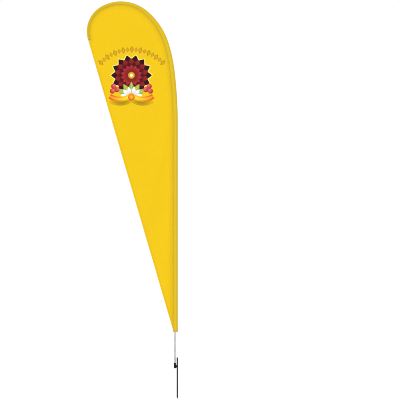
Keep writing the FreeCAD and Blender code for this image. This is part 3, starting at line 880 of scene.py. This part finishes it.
# ---- shader helpers
def node(tree, kind, inputs=None, **settings):
    """Adds a node; inputs are plain values or the sockets that feed them."""
    made = tree.nodes.new("ShaderNode" + kind)
    for key, value in settings.items():
        setattr(made, key, value)
    for key, value in (inputs or {}).items():
        if isinstance(value, bpy.types.NodeSocket):
            tree.links.new(value, made.inputs[key])
        else:
            made.inputs[key].default_value = value
    return made


def new_material(name, specular=0.5, **sockets):
    """A material and its node tree, with plain values on the shader's own sockets."""
    material = bpy.data.materials.new(name)
    material.use_nodes = True
    inputs = material.node_tree.nodes["Principled BSDF"].inputs
    inputs["Specular IOR Level"].default_value = specular
    for key, value in sockets.items():
        inputs[key.replace("_", " ").title()].default_value = value
    return material, material.node_tree


def mixed(tree, factor, low, high):
    """Colour between low and high, which are colours or sockets."""
    mix = node(tree, "Mix", data_type="RGBA")
    for index, value in ((0, factor), (6, low), (7, high)):
        if isinstance(value, bpy.types.NodeSocket):
            tree.links.new(value, mix.inputs[index])
        else:
            mix.inputs[index].default_value = value if index == 0 else (*value, 1.0)
    return mix.outputs[2]


def ranged(tree, value, low_in, high_in, low, high):
    return node(tree, "MapRange", {"Value": value, "From Min": low_in, "From Max": high_in,
                                   "To Min": low, "To Max": high}).outputs["Result"]


def maths(tree, operation, first, second):
    return node(tree, "Math", {0: first, 1: second}, operation=operation).outputs[0]


def drawn_out(tree, place, share):
    """A place whose height counts for only that share, so that grain runs up and down."""
    return node(tree, "Mapping", {"Vector": place, "Scale": (1.0, 1.0, share)}).outputs["Vector"]


def wired(material, colour, roughness=None, normal=None, metallic=None):
    """The material, with those sockets of its shader fed that vary over a surface."""
    tree = material.node_tree
    inputs = tree.nodes["Principled BSDF"].inputs
    for key, socket in (("Base Color", colour), ("Roughness", roughness), ("Normal", normal),
                        ("Metallic", metallic)):
        if socket is not None:
            tree.links.new(socket, inputs[key])
    return material


def scaled_colour(tree, colour, factor):
    """A colour socket made lighter or darker by a value socket."""
    return node(tree, "VectorMath", {0: colour, "Scale": factor}, operation="SCALE").outputs[0]


def noise(tree, vector, scale, detail=2.0, roughness=0.5):
    return node(tree, "TexNoise", {"Vector": vector, "Scale": scale, "Detail": detail,
                                   "Roughness": roughness}).outputs["Fac"]


def bump(tree, height, distance, strength=1.0, below=None):
    inputs = {"Height": height, "Distance": distance, "Strength": strength}
    if below is not None:
        inputs["Normal"] = below
    return node(tree, "Bump", inputs).outputs["Normal"]


def object_place(tree):
    return node(tree, "TexCoord").outputs["Object"]


def wave(tree, vector, direction, pitch, distortion=0.0):
    """Ridges of that pitch, in metres, along one axis of the vector."""
    cycles_at_scale_one = 20 / (2 * math.pi)
    return node(tree, "TexWave", {"Vector": vector, "Scale": 1 / (pitch * cycles_at_scale_one),
                                  "Distortion": distortion, "Detail": 1.0},
                wave_type="BANDS", bands_direction=direction).outputs["Fac"]


# ---- cloth finishes
def knit(name, colour=None, with_painted_shade=False):
    """Warp-knitted polyester with soft wrinkles and uneven dye; with no colour, the print's. With
    painted shade, its colour is darkened by the painted shade stored on the mesh.
    """
    material, tree = new_material(name, specular=0.10, sheen_weight=0.05, sheen_roughness=0.5)
    place = object_place(tree)
    cut = node(tree, "UVMap", uv_map="cut").outputs["UV"]
    wales = wave(tree, cut, "X", KNIT_PITCH, 0.4)
    courses = wave(tree, cut, "Y", KNIT_PITCH * 1.15, 0.4)
    loops = maths(tree, "MULTIPLY", wales, courses)
    base = colour or node(tree, "Attribute", attribute_name="print").outputs["Color"]
    cloud = ranged(tree, noise(tree, place, 2.6, 3.0), 0.3, 0.7, 0.985, 1.015)
    fleck = ranged(tree, noise(tree, cut, 900.0, 2.0), 0.25, 0.75, 0.965, 1.03)
    tone = maths(tree, "MULTIPLY", cloud, fleck)
    tone = maths(tree, "MULTIPLY", tone, ranged(tree, loops, 0.0, 1.0, 0.965, 1.025))
    # Painted shade: the colour is darkened by the mesh's stored painted shade beside the seam and
    # at the sleeve's fold
    if with_painted_shade:
        painted_shade = node(tree, "Attribute", attribute_name="painted_shade").outputs["Fac"]
        tone = maths(tree, "MULTIPLY", tone, painted_shade)
    soft = bump(tree, noise(tree, place, 9.0, 2.0), 0.004, 0.5)
    return wired(material, scaled_colour(tree, base, tone),
                 ranged(tree, fleck, 0.96, 1.04, 0.80, 0.92), bump(tree, loops, 0.00012, 0.6, soft))


def webbing_finish():
    """Woven polyester webbing: diagonal twill ribs."""
    material, tree = new_material("webbing", roughness=0.8, specular=0.2, sheen_weight=0.1)
    cut = node(tree, "UVMap", uv_map="cut").outputs["UV"]
    ribs = node(tree, "TexWave", {"Vector": cut, "Scale": 260.0, "Distortion": 0.3},
                wave_type="BANDS", bands_direction="DIAGONAL").outputs["Fac"]
    return wired(material, mixed(tree, ribs, (0.010, 0.010, 0.011), (0.035, 0.035, 0.037)),
                 normal=bump(tree, ribs, 0.0002, 0.8))


def thread_finish():
    """Twisted polyester thread, a little glossier than the cloth."""
    material, tree = new_material("thread", roughness=0.55, specular=0.3)
    twist = noise(tree, object_place(tree), 2600.0, 1.0)
    return wired(material, mixed(tree, twist, (0.50, 0.30, 0.010), (0.66, 0.42, 0.020)),
                 normal=bump(tree, twist, 0.0001, 0.5))


# ---- hard finishes
def powder_coat():
    """Satin black powder coat with a faint orange peel."""
    material, tree = new_material("powder_coat", specular=0.08)
    place = object_place(tree)
    peel, cloud = noise(tree, place, 900.0, 2.0), noise(tree, place, 60.0, 3.0)
    return wired(material, mixed(tree, cloud, (0.0025, 0.0025, 0.003), (0.0065, 0.0065, 0.007)),
                 ranged(tree, peel, 0.3, 0.7, 0.38, 0.52), bump(tree, peel, 0.00006, 0.6))


def stake_steel(tip_z, top_z):
    """Dark coated bar, scuffed bright at its point and at its struck top."""
    material, tree = new_material("stake_steel", specular=0.10)
    place = object_place(tree)
    height = node(tree, "SeparateXYZ", {0: place}).outputs["Z"]
    scuffs = noise(tree, drawn_out(tree, place, 0.12), 420.0, 4.0, 0.7)
    near_tip = ranged(tree, height, tip_z, tip_z + 0.03, 0.16, 0.0)
    near_top = ranged(tree, height, top_z - 0.003, top_z, 0.0, 0.26)
    worn = maths(tree, "ADD", scuffs, maths(tree, "ADD", near_tip, near_top))
    bare = ranged(tree, worn, 0.70, 0.80, 0.0, 1.0)
    paint = mixed(tree, scuffs, (0.006, 0.006, 0.0065), (0.015, 0.015, 0.0155))
    return wired(material, mixed(tree, bare, paint, (0.30, 0.29, 0.28)),
                 ranged(tree, scuffs, 0.3, 0.7, 0.45, 0.62), bump(tree, scuffs, 0.00008, 0.5), bare)


def drawn_metal(name, dark, light, low=0.28, high=0.42):
    """Drawn or ground metal with fine lines along its length."""
    material, tree = new_material(name, metallic=1.0)
    place = object_place(tree)
    lines = noise(tree, drawn_out(tree, place, 0.02), 1500.0, 3.0, 0.6)
    both = maths(tree, "MULTIPLY", lines, noise(tree, place, 14.0, 3.0))
    return wired(material, mixed(tree, ranged(tree, both, 0.1, 0.4, 0.0, 1.0), dark, light),
                 ranged(tree, lines, 0.3, 0.7, low, high), bump(tree, lines, 0.00003, 0.4))


def weld_finish():
    """Painted weld beads with the ripple of the weld pool."""
    material, tree = new_material("weld", specular=0.15)
    ripple = wave(tree, object_place(tree), "Z", 0.0013, 5.0)
    return wired(material, mixed(tree, ripple, (0.004, 0.004, 0.0045), (0.012, 0.012, 0.013)),
                 ranged(tree, ripple, 0.0, 1.0, 0.55, 0.38), bump(tree, ripple, 0.00015, 0.6))


def moulded(name, dark, light, roughness=(0.42, 0.6), grain=700.0, specular=0.14):
    """Moulded plastic or rubber with a fine spark-eroded grain."""
    material, tree = new_material(name, specular=specular)
    place = object_place(tree)
    texture = noise(tree, place, grain, 3.0)
    return wired(material, mixed(tree, noise(tree, place, 40.0, 2.0), dark, light),
                 ranged(tree, texture, 0.3, 0.7, *roughness), bump(tree, texture, 0.00008, 0.6))


def fibreglass():
    """Pultruded glass fibre under resin: pale, with streaks along its length."""
    material, tree = new_material("fibreglass", coat_weight=0.3, coat_roughness=0.2)
    streaks = noise(tree, drawn_out(tree, object_place(tree), 0.05), 800.0, 4.0)
    return wired(material, mixed(tree, streaks, (0.60, 0.60, 0.56), (0.80, 0.80, 0.77)),
                 ranged(tree, streaks, 0.3, 0.7, 0.30, 0.45), bump(tree, streaks, 0.00005, 0.5))


def finish_cad_nodes():
    """Gives every CAD node that still shows its material."""
    tip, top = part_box("ground_stake")
    finishes = (
        (stake_steel(tip.z, top.z), "ground_stake"),
        (weld_finish(), "weld_beads"),
        (powder_coat(), "bracket_arm bearing_housing rotating_spindle bearing_spacer"),
        (moulded("black_plastic", (0.003, 0.003, 0.003), (0.008, 0.008, 0.008), specular=0.10),
         "housing_end_cap strap_hook pole_tip_cap joint_collar_1 joint_collar_2 joint_collar_3"),
        (moulded("rubber", (0.010, 0.010, 0.010), (0.022, 0.022, 0.022), (0.7, 0.85), 500.0, 0.2),
         "dust_seal spigot_o_rings"),
        (drawn_metal("bearing_steel", (0.50, 0.50, 0.52), (0.78, 0.78, 0.80), 0.10, 0.2),
         "lower_inner_race lower_outer_race lower_balls "
         "upper_inner_race upper_outer_race upper_balls"),
        (moulded("cage_plastic", (0.62, 0.58, 0.46), (0.70, 0.66, 0.54)),
         "lower_ball_cage upper_ball_cage"),
        (drawn_metal("spring_steel", (0.10, 0.10, 0.11), (0.24, 0.24, 0.25)),
         "retaining_clip anchor_stud"),
        (drawn_metal("aluminium", (0.45, 0.46, 0.46), (0.62, 0.62, 0.61), 0.30, 0.45),
         "pole_section_1 pole_section_2"),
        (fibreglass(), "pole_section_3 pole_section_4"),
    )
    for material, names in finishes:
        for name in names.split():
            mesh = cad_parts[name].data
            mesh.materials.clear()
            mesh.materials.append(material)


# ---- studio
def make_floor():
    """A wide pale floor, just under the stake's point."""
    radius, count, gap = 60.0, 64, 0.002
    mesh = bpy.data.meshes.new("floor")
    rim = [(p.x, p.y, cad_box[0].z - gap) for p in circle(Vector((0, 0)), radius, count)]
    mesh.from_pydata(rim, [], [tuple(range(count))])
    material, tree = new_material("floor", roughness=0.9, specular=0.1)
    cloud = noise(tree, object_place(tree), 1.5)
    pale = mixed(tree, cloud, (0.70, 0.70, 0.70), (0.72, 0.72, 0.72))
    mesh.materials.append(wired(material, pale))
    add_object("floor", mesh)


def make_light():
    world = bpy.data.worlds.new("studio")
    world.use_nodes = True
    background = world.node_tree.nodes["Background"].inputs
    background["Color"].default_value = (1, 1, 1, 1)
    background["Strength"].default_value = SKY
    scene.world = world
    for name, strength, spread, tilt, turn in SUNS:
        light = bpy.data.lights.new(name, "SUN")
        light.energy = strength
        light.angle = math.radians(spread)
        add_object(name, light).rotation_euler = (math.radians(tilt), 0, math.radians(turn))


def make_camera():
    """Level, square on and from far off, with the flag to the left of the picture."""
    view_width, lens, sensor = 4.0, 200.0, 36.0
    data = bpy.data.cameras.new("camera")
    data.lens, data.sensor_width, data.clip_end = lens, sensor, 200.0
    camera = add_object("camera", data)
    camera.location = (0.2267, -view_width * lens / sensor, 1.694)
    camera.rotation_euler = (math.radians(90), 0, 0)
    scene.camera = camera


scene.view_settings.view_transform = "Standard"
scene.cycles.filter_width = 1.0
make_camera()
make_light()
make_floor()

# The printed and sleeve cloth carry painted shade beside the seam and at the sleeve's fold
PRINTED_KNIT = knit("printed_knit", with_painted_shade=True)
SLEEVE_KNIT = knit("sleeve_knit", (0.648, 0.432, 0.0145), with_painted_shade=True)
HEM_KNIT = knit("hem_knit", (0.705, 0.456, 0.0064))
BAND_KNIT = knit("band_knit", (0.50, 0.36, 0.030))
LINER = knit("liner_cloth", (0.10, 0.10, 0.10))
WEBBING = webbing_finish()
THREAD_FINISH = thread_finish()

make_panels()
make_sleeve()
make_edge_hem()
make_mouth_band()
make_tip_patch()
make_stitches()
make_strap()
finish_cad_nodes()
